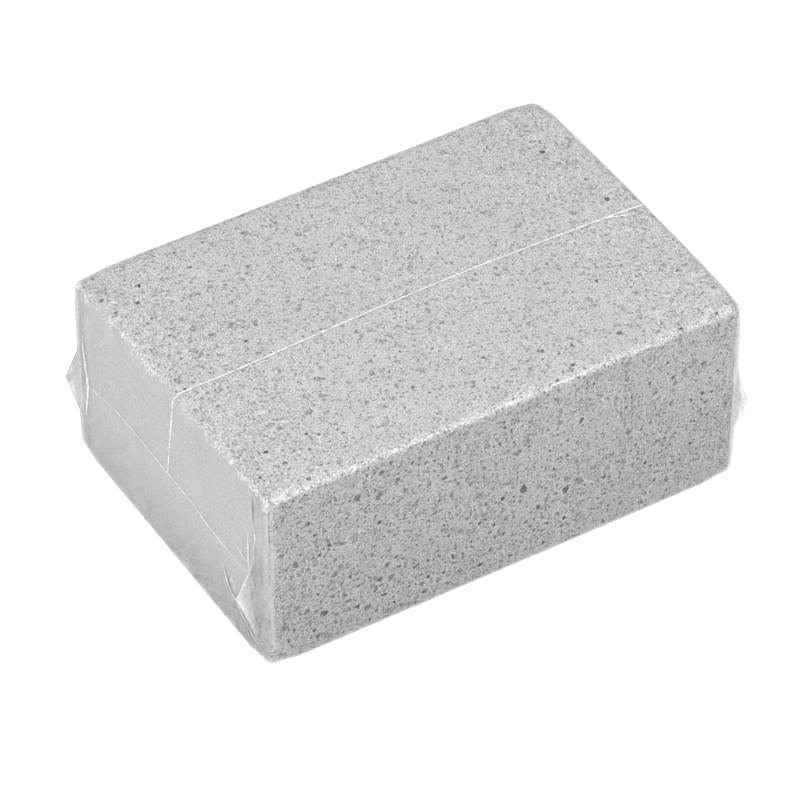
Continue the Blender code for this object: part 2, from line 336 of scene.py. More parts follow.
def face_border(face, half):
    """The outline of one face as points in its own two directions."""
    facing, side, u, v = face
    border = []
    for along, other in ((u, v), (v, u)):
        for end in (-1, 1):
            signs = {facing: side, other: end}
            key = tuple(signs[axis] for axis in sorted(signs))
            for stop in edge_stops(along, key, half):
                place = {along: stop, other: end * half[other]}
                border.append((place[u], place[v]))
    return list(dict.fromkeys(border))


def crowding(face, a, b, half):
    """Share of the pores kept at a place: they gather in patches, most at the lower left."""
    patch = 0.75 + 0.5 * noise.noise(Vector((a / 9, b / 9, 3.0 * FACES.index(face))))
    if face == FRONT:
        patch += 0.22 * (-a / half[0]) + 0.12 * (-b / half[2])
    if face == TOP:
        patch += 0.25 * (-a / half[0])
    return patch


def growth(face, a, b, half):
    """How much larger the pores are at a place: most at the front's lower left."""
    if face == FRONT:
        return 1.12 - 0.16 * a / half[0] - 0.12 * b / half[2]
    if face == TOP:
        return 0.96 - 0.12 * a / half[0]
    return 0.94


def seen_on(face, half, column, row):
    """The place on a face of the stone that the camera sees at one pixel of the picture."""
    facing, side, u, v = face
    pixel = Vector((column - FRAME_PIXELS / 2, FRAME_PIXELS / 2 - row, -CAMERA_PIXELS))
    ray = Euler(CAMERA_TURN).to_matrix() @ pixel
    plane = MIDDLE[facing] + side * (half[facing] - FACE_SUNK)
    point = CAMERA_PLACE + ray * ((plane - CAMERA_PLACE[facing]) / ray[facing])
    return point[u] - MIDDLE[u], point[v] - MIDDLE[v]


def marked_pores(face, half):
    """The pits of one face that are placed from the photograph."""
    found = []
    for column, row, wide, high, dark in MARKED_PITS.get(face, ()):
        place = seen_on(face, half, column, row)
        reach = (MARKED_SPREAD * wide, MARKED_SPREAD * high)
        room = [half[axis] - max(reach) - MARKED_MARGIN for axis in face[2:]]
        place = tuple(min(max(x, -most), most) for x, most in zip(place, room))
        found.append({
            "place": place,
            "reach": reach,
            "depth": MARKED_DEPTH[0] + MARKED_DEPTH[1] * dark,
            "dark": dark,
            "lean": MARKED_LEAN,
        })
    return found


def random_pore(face, half, rng, radius):
    """One pore somewhere on a face, or None where too few of them gather."""
    u, v = face[2], face[3]
    a = rng.uniform(-half[u] + PORE_KEEP, half[u] - PORE_KEEP)
    b = rng.uniform(-half[v] + PORE_KEEP, half[v] - PORE_KEEP)
    grown = radius * growth(face, a, b, half)
    if min(half[u] - abs(a), half[v] - abs(b)) < grown + PORE_GAP:
        return None
    if rng.random() > crowding(face, a, b, half):
        return None
    stretch = math.sqrt(rng.uniform(1.0, 1.7))
    small = 1 - smooth_step(0.2, 0.45, grown)
    deep = rng.uniform(0.7, 1.3 + 0.5 * small)
    dark = rng.uniform(0.1 + 0.14 * small, 0.36 + 0.34 * small)
    if rng.random() < SHALLOW_SHARE:
        deep = rng.uniform(0.3, 0.6)
        dark = rng.uniform(0.0, 0.22)
    return {
        "place": (a, b),
        "reach": (grown * stretch, grown / stretch),
        "depth": deep * grown,
        "dark": dark,
        "lean": rng.uniform(0, math.pi),
    }


def choose_pores(face, half, rng):
    """The pores of one face, none of them touching another, and the map of where they are."""
    u, v = face[2], face[3]
    width, height = 2 * half[u], 2 * half[v]
    wanted = int(width * height * PORE_DENSITY[face])
    radii = [PORE_MIDDLING * math.exp(rng.gauss(0, PORE_SPREAD)) for i in range(wanted)]
    radii = sorted((min(max(r, PORE_LEAST), PORE_MOST) for r in radii), reverse=True)
    taken = np.zeros((int(width / RASTER) + 2, int(height / RASTER) + 2), bool)
    pores = []

    def settle(pore):
        a, b = pore["place"]
        room = max(pore["reach"]) + PORE_GAP
        i0, i1 = int((a - room + half[u]) / RASTER), int((a + room + half[u]) / RASTER) + 1
        j0, j1 = int((b - room + half[v]) / RASTER), int((b + room + half[v]) / RASTER) + 1
        if taken[i0:i1, j0:j1].any():
            return False
        taken[i0:i1, j0:j1] = True
        pores.append(pore)
        return True

    for pore in marked_pores(face, half):
        settle(pore)
    for radius in radii:
        for attempt in range(PORE_TRIES):
            pore = random_pore(face, half, rng, radius)
            if pore and settle(pore):
                break
    return pores, taken


def pore_rim(pore, rng):
    """A rough ring of points round a pore."""
    a, b = pore["place"]
    wide, narrow = pore["reach"]
    size = math.sqrt(wide * narrow)
    count = next(points for most, points in PORE_RIMS if size < most)
    turn = rng.uniform(0, 2 * math.pi)
    second, third = rng.uniform(0, 2 * math.pi), rng.uniform(0, 2 * math.pi)
    cos, sin = math.cos(pore["lean"]), math.sin(pore["lean"])
    rim = []
    for i in range(count):
        angle = turn + 2 * math.pi * (i + rng.uniform(-0.2, 0.2)) / count
        wobble = 1 + 0.12 * math.sin(2 * angle + second) + 0.14 * math.sin(3 * angle + third)
        wobble *= rng.uniform(0.78, 1.12)
        x = wide * wobble * math.cos(angle)
        y = narrow * wobble * math.sin(angle)
        rim.append((a + x * cos - y * sin, b + x * sin + y * cos))
    return rim


def loose_points(face, half, taken, rng):
    """Points on the bare surface: rows beside the edges, and a few scattered between the pores."""
    facing, side, u, v = face
    found = []

    def add(a, b):
        i, j = int((a + half[u]) / RASTER), int((b + half[v]) / RASTER)
        if not taken[max(i - 1, 0):i + 2, max(j - 1, 0):j + 2].any():
            taken[max(i - 2, 0):i + 3, max(j - 2, 0):j + 3] = True
            found.append((a, b))

    for row in EDGE_ROWS:
        for along, other in ((u, v), (v, u)):
            count = int(2 * (half[along] - row) / (EDGE_STOP + 0.25))
            for end in (-1, 1):
                for i in range(count + 1):
                    stop = -half[along] + row + 2 * (half[along] - row) * i / count
                    stop += rng.uniform(-0.2, 0.2)
                    across = end * (half[other] - row + rng.uniform(-0.12, 0.12))
                    place = {along: min(max(stop, 0.3 - half[along]), half[along] - 0.3), other: across}
                    add(place[u], place[v])
    for i in range(int(4 * half[u] * half[v] * FILLERS[face])):
        add(rng.uniform(0.4 - half[u], half[u] - 0.4), rng.uniform(0.4 - half[v], half[v] - 0.4))
    return found


class Shell:
    """Points on the sharp-edged block, how deep each lies, and the faces between them.

    pits holds the faces inside pores and how dark each is, and rims the edges round the pores.
    """

    def __init__(self):
        self.points = []
        self.depths = []
        self.faces = []
        self.pits = []
        self.rims = []
        self.known = {}

    def add(self, point, depth):
        self.points.append(point)
        self.depths.append(depth)
        return len(self.points) - 1

    def add_pit_face(self, face, dark):
        self.pits.append((len(self.faces), dark))
        self.faces.append(face)

    def shared(self, point):
        """A point on an edge or corner, which the faces that meet there share."""
        key = tuple(round(x * 1000) for x in point)
        if key not in self.known:
            self.known[key] = self.add(point, 0.0)
        return self.known[key]


def sink_pore(shell, to_block, pore, rim, ring, rng):
    """Closes a pore inside its ring: a rough cone, or a bowl where it is wide."""
    a, b = pore["place"]
    count = len(ring)
    shell.rims.extend((ring[i], ring[(i + 1) % count]) for i in range(count))
    if count >= BOWL_POINTS:
        floor = []
        for rim_a, rim_b in rim:
            shrink = rng.uniform(0.60, 0.82)
            depth = pore["depth"] * rng.uniform(0.55, 0.85)
            floor.append(shell.add(to_block(a + (rim_a - a) * shrink, b + (rim_b - b) * shrink), depth))
        for i in range(count):
            j = (i + 1) % count
            shell.add_pit_face((ring[i], ring[j], floor[j]), 0.8 * pore["dark"])
            shell.add_pit_face((ring[i], floor[j], floor[i]), 0.8 * pore["dark"])
        ring = floor
    stray = 0.3 * min(pore["reach"])
    middle = to_block(a + rng.uniform(-stray, stray), b + rng.uniform(-stray, stray))
    bottom = shell.add(middle, pore["depth"])
    for i in range(count):
        shell.add_pit_face((ring[i], ring[(i + 1) % count], bottom), pore["dark"])


def cover_face(shell, face, half, rng):
    """Triangulates one face of the stone round its pores."""
    facing, side, u, v = face

    def to_block(a, b):
        point = [0.0, 0.0, 0.0]
        point[facing], point[u], point[v] = side * half[facing], a, b
        return point

    pores, taken = choose_pores(face, half, rng)
    flat = face_border(face, half)
    border_count = len(flat)
    rims = []
    rings = []
    for pore in pores:
        rim = pore_rim(pore, rng)
        rims.append(rim)
        rings.append(list(range(len(flat), len(flat) + len(rim))))
        flat.extend(rim)
    flat.extend(loose_points(face, half, taken, rng))
    made = delaunay_2d_cdt([Vector(place) for place in flat], [], rings, 0, 1e-6, True)
    new_flat, triangles, sources, inside = made[0], made[2], made[3], made[5]
    numbers = []
    for place, source in zip(new_flat, sources):
        if source and min(source) < border_count:
            numbers.append(shell.shared(to_block(*flat[min(source)])))
        else:
            numbers.append(shell.add(to_block(*place), rng.uniform(-0.3, 1.0) * GRAIN))
    number_of = {old: number for number, source in zip(numbers, sources) for old in source}
    for triangle, within in zip(triangles, inside):
        if not within:
            shell.faces.append(tuple(numbers[i] for i in triangle))
    for pore, rim, ring in zip(pores, rims, rings):
        sink_pore(shell, to_block, pore, rim, [number_of[i] for i in ring], rng)


def edge_wear(points, half):
    """How far each point is eaten away, from how near it is to the block's edges."""
    gaps = np.sort(half - np.abs(points), axis=1)
    from_edge = gaps[:, 1]
    from_corner = gaps[:, 2]
    fine = np.clip(0.55 + 0.9 * noise_at(points, 1.1, (3, 1, 7)), 0, 1.3)
    coarse = np.clip(noise_at(points, 3.6, (9, 4, 2)) - 0.12, 0, 1)
    wear = CRUMBLE * fine * fade(from_edge, 0.8)
    wear += 1.6 * coarse * fade(from_edge, 1.5)
    wear += 0.5 * fade(from_corner, 2.2)
    return wear * (1 - 0.65 * smooth_step(3, 1, points[:, 2] + half[2]))


def build_stone():
    rng = random.Random(11)
    shell = Shell()
    for face in FACES:
        cover_face(shell, face, STONE_HALF, rng)
    flat = np.array(shell.points)
    surface, normals = round_block(flat, STONE_HALF, EDGE_RADIUS, STONE_UPRIGHT_RADIUS)
    wear = edge_wear(flat, STONE_HALF) + 0.05 + 0.06 * noise_at(flat, 9.0, (0, 5, 0))
    depth = np.array(shell.depths) + wear
    points = bow(surface - normals * depth[:, None]) + MIDDLE
    stone = mesh_object("stone_surface", points, shell.faces)
    # How dark each face inside a pore is painted, as shade in the pore, for the material
    darks = np.zeros(len(shell.faces))
    for number, dark in shell.pits:
        darks[number] = dark
    add_layer(stone, "pit", darks, "FACE")
    rims = {tuple(sorted(edge)) for edge in shell.rims}
    sharp = [tuple(sorted(edge.vertices)) in rims for edge in stone.data.edges]
    stone.data.attributes.new("sharp_edge", "BOOLEAN", "EDGE").data.foreach_set("value", sharp)
    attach(stone, "root")
    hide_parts("pumice_stone")
    return stone


def add_layer(thing, name, values, each="POINT"):
    """Keeps one number for each point or face of a mesh, for the material to read."""
    layer = thing.data.attributes.new(name, "FLOAT", each)
    layer.data.foreach_set("value", np.asarray(values, np.float32))


# The film


def film_lines(axis):
    """Grid lines along one axis, closer together towards the block's edges."""
    half = FILM_HALF[axis]
    near = np.array(FILM_NEAR)
    count = round(2 * (half - near[-1]) / FILM_SPACING[axis])
    inner = np.linspace(-half + near[-1], half - near[-1], count + 1)[1:-1]
    return np.concatenate([-half + near, inner, half - near[::-1]])


def film_grid():
    """The film as a closed grid on the sharp-edged block: its points and faces."""
    lines = [film_lines(axis) for axis in range(3)]
    last = [len(line) - 1 for line in lines]
    known = {}
    points = []
    faces = []
    for facing, side, u, v in FACES:

        def number(i, j):
            key = [0, 0, 0]
            key[facing] = last[facing] if side > 0 else 0
            key[u], key[v] = i, j
            key = tuple(key)
            if key not in known:
                known[key] = len(points)
                points.append([lines[axis][key[axis]] for axis in range(3)])
            return known[key]

        for i in range(last[u]):
            for j in range(last[v]):
                faces.append((number(i, j), number(i + 1, j), number(i + 1, j + 1), number(i, j + 1)))
    return np.array(points), faces


def draw_ears(flat, surface):
    """Pinches the film by each upright edge and draws it out to the ear's tip.

    Returns the points, how far each is drawn out of the block, and which lie on the rim of the
    ear that is seen against the end.
    """
    drawn = surface.copy()
    pinch = np.zeros(len(flat))
    crest = np.zeros(len(flat))
    for side, (tip, reaches, powers, root) in EARS.items():
        gap_x = FILM_HALF[0] - flat[:, 0] * side[0]
        gap_y = FILM_HALF[1] - flat[:, 1] * side[1]
        from_root = np.abs(np.where(gap_x < gap_y, root - gap_y, root + gap_x))
        height = flat[:, 2] + MIDDLE[2] - tip.z
        reach_up = np.where(height > 0, *reaches)
        outline = np.clip(1 - np.abs(height) / reach_up, 0, 1) ** np.where(height > 0, *powers)
        base = 0.7 + 2.4 * outline
        part = np.clip(1 - from_root / base, 0, 1) * (outline > 0)
        sunk = 0.4 * (root < FILM_UPRIGHT_RADIUS)
        foot = np.array([side[0] * (FILM_HALF[0] - sunk), side[1] * (FILM_HALF[1] - max(root, 0.4))])
        reach = np.array([tip.x, tip.y]) - foot
        length = np.linalg.norm(reach)
        out = reach / length
        side_way = np.array([-out[1], out[0]])
        sway = 0.35 * np.sin(height * 0.55) + 0.2 * np.sin(height * 1.3 + 1)
        offset = surface[:, :2] - foot
        lateral = offset @ side_way
        narrow = 1 - 0.93 * smooth_step(0.0, 0.55, part)
        forward = (offset @ out) * (1 - part) + length * outline * part**1.1
        move = smooth_step(0.0, 0.2, part)
        curl = sway * (forward / length) * part
        target = foot + np.outer(forward, out) + np.outer(lateral * narrow + curl, side_way)
        drawn[:, :2] += (target - drawn[:, :2]) * move[:, None]
        pinch = np.maximum(pinch, smooth_step(0.12, 0.45, part))
        if root > CREST_ROOT:
            crest = np.maximum(crest, smooth_step(0.6, 0.97, part))
    return drawn, pinch, crest


def slack(flat, normals):
    """The film stands off the ends in shallow folds, and clings to the other faces."""
    on_end = smooth_step(0.6, 0.95, np.abs(normals[:, 0]))
    edge_y = smooth_step(0.0, 8.0, FILM_HALF[1] - np.abs(flat[:, 1]))
    edge_z = smooth_step(0.0, 5.0, FILM_HALF[2] - np.abs(flat[:, 2]))
    folds = noise_at(flat * np.array([1, 1, 0.35]), 5.0, (2, 8, 1))
    seal = fade(flat[:, 2] + MIDDLE[2] - END_SEAL_Z, 1.3)
    return on_end * edge_y * edge_z * (0.10 * folds + 0.07 * seal)


def milkiness(flat, normals):
    """Where the film stands off the stone and looks milky: the ends, and the upright edges.

    It creeps over onto the top, most towards the back, and is thinner towards the foot, most at the
    front, which paints shade low on the ends. Beside the upright edges it is streaky.
    """
    end = smooth_step(0.35, 0.8, np.abs(normals[:, 0]))
    gap = FILM_HALF - np.abs(flat)
    creep = 0.1 + 1.3 * fade(flat[:, 1] - 19, 9)
    creep += 0.5 * noise_at(flat * np.array([0.2, 1, 1]), 2.4, (6, 1, 0))
    over_top = smooth_step(0.0, 0.35, creep - gap[:, 0]) * (flat[:, 2] > 0)
    # Less milky towards the foot, most at the front: painted shade on the lower part of the ends
    low = 1 - 0.6 * smooth_step(-2, -19, flat[:, 2]) * (0.5 + 0.5 * smooth_step(25, -25, flat[:, 1]))
    band = smooth_step(5.5, 4.0, gap[:, 1])
    streaks = noise_at(flat * np.array([1, 1, 0.1]), 1.1, (4, 4, 4))
    milk = np.maximum(end, over_top) * low * (1 - band * np.clip(0.25 + 0.5 * streaks, 0, 0.6))
    side_streak = fade(gap[:, 0] - 0.9, 0.9) * (gap[:, 1] < 0.01)
    upright = side_streak * np.clip(0.55 + 0.8 * streaks, 0, 1) * smooth_step(0.5, 3.0, gap[:, 2])
    return np.clip(np.maximum(milk, upright), 0, 1)


def painted_glint_band(flat):
    """Where the film glints, with painted highlights: along the front and left top edges most.

    It also does at the front end of the right one, on the upper front corners and low down on
    the front by the left end.
    """
    gap = FILM_HALF - np.abs(flat)
    is_front = flat[:, 1] < 0
    is_left = flat[:, 0] < 0
    from_front = np.maximum(gap[:, 2], gap[:, 1])
    from_end = np.maximum(gap[:, 2], gap[:, 0])
    corner = np.maximum(gap[:, 0], gap[:, 1])
    near_corner = smooth_step(-15, -45, flat[:, 0])
    front = (0.4 + 0.2 * near_corner) * fade(from_front, 0.7 + 0.6 * near_corner)
    front += (0.6 - 0.3 * near_corner) * fade(from_front, 0.32)
    left = (0.8 + 0.2 * smooth_step(20, 32, flat[:, 1])) * fade(from_end, 1.4)
    right = 0.5 * fade(from_end, 0.8) * smooth_step(-20, -34, flat[:, 1])
    down = 0.9 * fade(corner, 1.2) * smooth_step(8, 1, gap[:, 2])
    foot = 0.75 * fade(corner, 4.5) * fade(flat[:, 2] + MIDDLE[2] - 3.5, 3.5)
    upper = flat[:, 2] > 0
    return np.maximum.reduce([
        front * is_front * upper,
        left * is_left * upper,
        right * ~is_left * upper,
        down * is_front * upper,
        foot * (is_front & is_left & (gap[:, 1] < 0.01)),
    ])


def haze_and_sheen(flat, normals):
    """Whiteness where the film is seen edge-on, at far edges and round the bottom: haze and painted
    sheen.
    """
    gap = np.sort(FILM_HALF - np.abs(flat), axis=1)[:, 1]
    far = smooth_step(0.0, 0.5, np.maximum(normals[:, 0], normals[:, 1]))
    low = 0.08 * smooth_step(0.0, 0.8, -normals[:, 2])
    return 0.8 * fade(gap, 0.9) * np.maximum(far, low)


def build_film():
    flat, faces = film_grid()
    surface, normals = round_film(flat)
    surface = surface + normals * slack(flat, normals)[:, None]
    drawn, pinch, crest = draw_ears(flat, surface)
    points = bow(drawn) + MIDDLE
    film = mesh_object("film_sheet", points, faces)
    add_layer(film, "milk", milkiness(flat, normals))
    add_layer(film, "pinch", pinch)
    # Where painted glints go: highlights painted as white specks along the edges
    add_layer(film, "rim", painted_glint_band(flat))
    add_layer(film, "crest", crest)
    add_layer(film, "haze_and_sheen", haze_and_sheen(flat, normals))
    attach(film, "root")
    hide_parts("shrink_film")
    return film


def on_film(face, a, b):
    """The film's surface, and its outward direction, at a place on one face of the block."""
    facing, side, u, v = face
    flat = np.zeros((1, 3))
    flat[0, facing], flat[0, u], flat[0, v] = side * FILM_HALF[facing], a, b
    surface, normals = round_film(flat)
    surface = surface + normals * slack(flat, normals)[:, None]
    return (bow(surface) + MIDDLE)[0], normals[0]


def bead(route, width, height, taper):
    """A low ridge along a route of (point, outward direction): its points and faces."""
    sides = BEAD_SIDES
    points = []
    faces = []
    count = len(route)
    for i, (place, up) in enumerate(route):
        ahead = route[min(i + 1, count - 1)][0] - route[max(i - 1, 0)][0]
        ahead = ahead / np.linalg.norm(ahead)
        across = np.cross(ahead, up)
        across = across / np.linalg.norm(across)
        end_share = min(i, count - 1 - i) / (count - 1) * 2
        size = min(1.0, 0.25 + end_share / taper) if taper else 1.0
        for k in range(sides):
            angle = 2 * math.pi * (k + 0.5) / sides
            points.append(
                place + across * math.cos(angle) * width / 2 * size
                + up * (math.sin(angle) * height / 2 * size + 0.3 * height)
            )
    for i in range(count - 1):
        for k in range(sides):
            m = (k + 1) % sides
            faces.append((i * sides + k, i * sides + m, (i + 1) * sides + m, (i + 1) * sides + k))
    faces.append(tuple(range(sides))[::-1])
    faces.append(tuple((count - 1) * sides + k for k in range(sides)))
    return points, faces


def resample(places, step):
    """Even places along a smooth line through a few given ones."""
    given = np.array(places)
    run = np.concatenate([[0], np.cumsum(np.linalg.norm(np.diff(given, axis=0), axis=1))])
    count = max(4, int(run[-1] / step))
    fine = np.linspace(0, run[-1], 8 * count)
    line = np.stack([np.interp(fine, run, given[:, k]) for k in range(2)], axis=1)
    width = 2 * int(len(fine) / (3 * len(given))) + 1
    padded = np.pad(line, ((width // 2, width // 2), (0, 0)), mode="edge")
    kernel = np.ones(width) / width
    smooth = np.stack([np.convolve(padded[:, k], kernel, "valid") for k in range(2)], axis=1)
    smooth[0], smooth[-1] = line[0], line[-1]
    return smooth[np.linspace(0, len(fine) - 1, count).astype(int)]


def top_route(places):
    return [on_film(TOP, x, y) for x, y in resample(places, 1.0)]


def end_route(places, side):
    """A line of places (y, z) on one end; the right end's are the left end's turned half round."""
    route = []
    for y, z in resample(places, 0.7):
        if side < 0:
            route.append(on_film(LEFT_END, z - MIDDLE[2], y))
        else:
            route.append(on_film(RIGHT_END, -y, z - MIDDLE[2]))
    return route


def build_beads(name, routes):
    points = []
    faces = []
    for route, width, taper in routes:
        made, sides = bead(route, width, 0.5 * width, taper)
        faces.extend(tuple(k + len(points) for k in side) for side in sides)
        points.extend(made)
    beads = mesh_object(name, points, faces)
    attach(beads, "root")
    return beads


def build_seams():
    """The fused seams: along the top, down both ends, and across each end."""
    right_seam = [(-y - 4.2, z) for y, z in END_SEAM]
    routes = [
        (end_route(END_SEAM[::-1], -1) + top_route(TOP_SEAM), BEAD_WIDTH, 0.0),
        (top_route(FORK), 0.8 * BEAD_WIDTH, 0.5),
        (end_route([(-y, z) for y, z in right_seam], 1), BEAD_WIDTH, 0.0),
        (end_route(END_SEAL, -1), 0.6 * BEAD_WIDTH, 0.3),
        (end_route(END_SEAL, 1), 0.6 * BEAD_WIDTH, 0.3),
    ]
    return build_beads("film_seams", routes)


def build_creases(name, creases):
    routes = [(end_route(places, side), width, 0.9) for places, width in creases for side in (-1, 1)]
    return build_beads(name, routes)


# Materials


def new_material(name):
    made = bpy.data.materials.new(name)
    made.use_nodes = True
    tree = made.node_tree
    tree.nodes.clear()
    return made, tree


def add_node(tree, kind, settings=(), **inputs):
    node = tree.nodes.new(kind)
    for key, value in dict(settings).items():
        setattr(node, key, value)
    for key, value in inputs.items():
        socket = node.inputs[key.replace("_", " ")]
        if isinstance(value, bpy.types.NodeSocket):
            tree.links.new(value, socket)
        else:
            socket.default_value = value
    return node


def layer_node(tree, name):
    return add_node(tree, "ShaderNodeAttribute", {"attribute_name": name}).outputs["Fac"]


def math_node(tree, operation, first, second=0.0, clamp=False):
    node = tree.nodes.new("ShaderNodeMath")
    node.operation = operation
    node.use_clamp = clamp
    for i, value in enumerate((first, second)):
        if isinstance(value, bpy.types.NodeSocket):
            tree.links.new(value, node.inputs[i])
        else:
            node.inputs[i].default_value = value
    return node.outputs[0]


def span(tree, value, low, high, to_low, to_high):
    node = tree.nodes.new("ShaderNodeMapRange")
    tree.links.new(value, node.inputs["Value"])
    for key, number in zip(("From Min", "From Max", "To Min", "To Max"), (low, high, to_low, to_high)):
        node.inputs[key].default_value = number
    return node.outputs["Result"]


def show(tree, surface):
    out = add_node(tree, "ShaderNodeOutputMaterial")
    tree.links.new(surface, out.inputs["Surface"])


def show_through(tree, surface, cover):
    """Shows a surface as far as the cover goes, and what lies behind it elsewhere."""
    clear = add_node(tree, "ShaderNodeBsdfTransparent")
    mix = add_node(tree, "ShaderNodeMixShader")
    tree.links.new(cover, mix.inputs[0])
    tree.links.new(clear.outputs[0], mix.inputs[1])
    tree.links.new(surface, mix.inputs[2])
    show(tree, mix.outputs[0])


def noise_node(tree, place, grain_mm, detail, roughness):
    node = add_node(tree, "ShaderNodeTexNoise", Vector=place)
    node.inputs["Scale"].default_value = 1 / (grain_mm * MM)
    node.inputs["Detail"].default_value = detail
    node.inputs["Roughness"].default_value = roughness
    return node.outputs["Fac"]


def warp(tree, place, grain_mm, amount_mm):
    """The same places pushed about by noise, so that what is drawn there isn't regular."""
    node = add_node(tree, "ShaderNodeTexNoise", Vector=place)
    node.inputs["Scale"].default_value = 1 / (grain_mm * MM)
    node.inputs["Detail"].default_value = 1
    centred = add_node(tree, "ShaderNodeVectorMath", {"operation": "SUBTRACT"})
    tree.links.new(node.outputs["Color"], centred.inputs[0])
    centred.inputs[1].default_value = (0.5, 0.5, 0.5)
    scaled = add_node(tree, "ShaderNodeVectorMath", {"operation": "SCALE"})
    tree.links.new(centred.outputs[0], scaled.inputs[0])
    scaled.inputs["Scale"].default_value = amount_mm * MM
    moved = add_node(tree, "ShaderNodeVectorMath", {"operation": "ADD"})
    tree.links.new(place, moved.inputs[0])
    tree.links.new(scaled.outputs[0], moved.inputs[1])
    return moved.outputs[0]


def holes(tree, place, spacing_mm, rim, floor, least_chance):
    """Round hollows, 1 in their middle and 0 outside: some deep, some hardly there."""
    cells = add_node(tree, "ShaderNodeTexVoronoi", Vector=place)
    cells.inputs["Scale"].default_value = 1 / (spacing_mm * MM)
    chance = add_node(tree, "ShaderNodeSeparateColor", Color=cells.outputs["Color"]).outputs[0]
    hollow = span(tree, cells.outputs["Distance"], rim, floor, 0.0, 1.0)
    return math_node(tree, "MULTIPLY", hollow, span(tree, chance, least_chance, 1.0, 0.0, 1.0))


def pumice_material():
    """Grey foam stone: grain, pinholes and wider shallow hollows between the modelled pores."""
    made, tree = new_material("pumice")
    place = add_node(tree, "ShaderNodeTexCoord").outputs["Object"]
    pit = layer_node(tree, "pit")
    bent = warp(tree, place, 0.8, 0.6)
    pinholes = holes(tree, bent, 0.76, 0.42, 0.26, 0.2)
    hollows = holes(tree, bent, 2.1, 0.34, 0.14, 0.45)
    grain = noise_node(tree, place, 0.28, 3, 0.75)
    height = add_node(tree, "ShaderNodeSeparateXYZ", Vector=place).outputs["Z"]
    on_top = span(tree, height, (BLOCK[2] - 1.6) * MM, (BLOCK[2] - 0.8) * MM, 0.0, 1.0)
    calm = span(tree, on_top, 0.0, 1.0, 1.0, TOP_CALM)
    pinholes = math_node(tree, "MULTIPLY", pinholes, calm)
    hollows = math_node(tree, "MULTIPLY", hollows, calm)
    cloud = noise_node(tree, place, 14.0, 2, 0.5)
    tone = math_node(tree, "ADD", span(tree, grain, 0.32, 0.68, *GRAIN_TONES), PUMICE_TONE)
    tone = math_node(tree, "ADD", tone, span(tree, cloud, 0.3, 0.7, -0.02, 0.02))
    # Painted shade: darker towards the foot
    foot = span(tree, height, FOOT_SHADE_FROM * MM, FOOT_SHADE_TO * MM, FOOT_SHADE, 1.0)
    tone = math_node(tree, "MULTIPLY", tone, foot)
    # Painted shade: darker in the pinholes, the hollows and the modelled pits
    for hollow, share in ((pinholes, PAINTED_PINHOLE_SHADE), (hollows, PAINTED_HOLLOW_SHADE), (pit, PAINTED_PIT_SHADE)):
        tone = math_node(tree, "MULTIPLY", tone, span(tree, hollow, 0.0, 1.0, 1.0, share))
    colour = add_node(tree, "ShaderNodeCombineColor", Red=tone, Green=tone, Blue=tone)
    relief = math_node(tree, "ADD", math_node(tree, "MULTIPLY", pinholes, -1.0), grain)
    relief = math_node(tree, "ADD", math_node(tree, "MULTIPLY", hollows, -1.6), relief)
    bump = add_node(tree, "ShaderNodeBump", Height=relief)
    bump.inputs["Strength"].default_value = 1.0
    bump.inputs["Distance"].default_value = 0.36 * MM
    tint = colour.outputs[0]
    shader = add_node(tree, "ShaderNodeBsdfPrincipled", Base_Color=tint, Normal=bump.outputs[0])
    shader.inputs["Roughness"].default_value = 0.95
    shader.inputs["Specular IOR Level"].default_value = 0.2
    show(tree, shader.outputs[0])
    return made


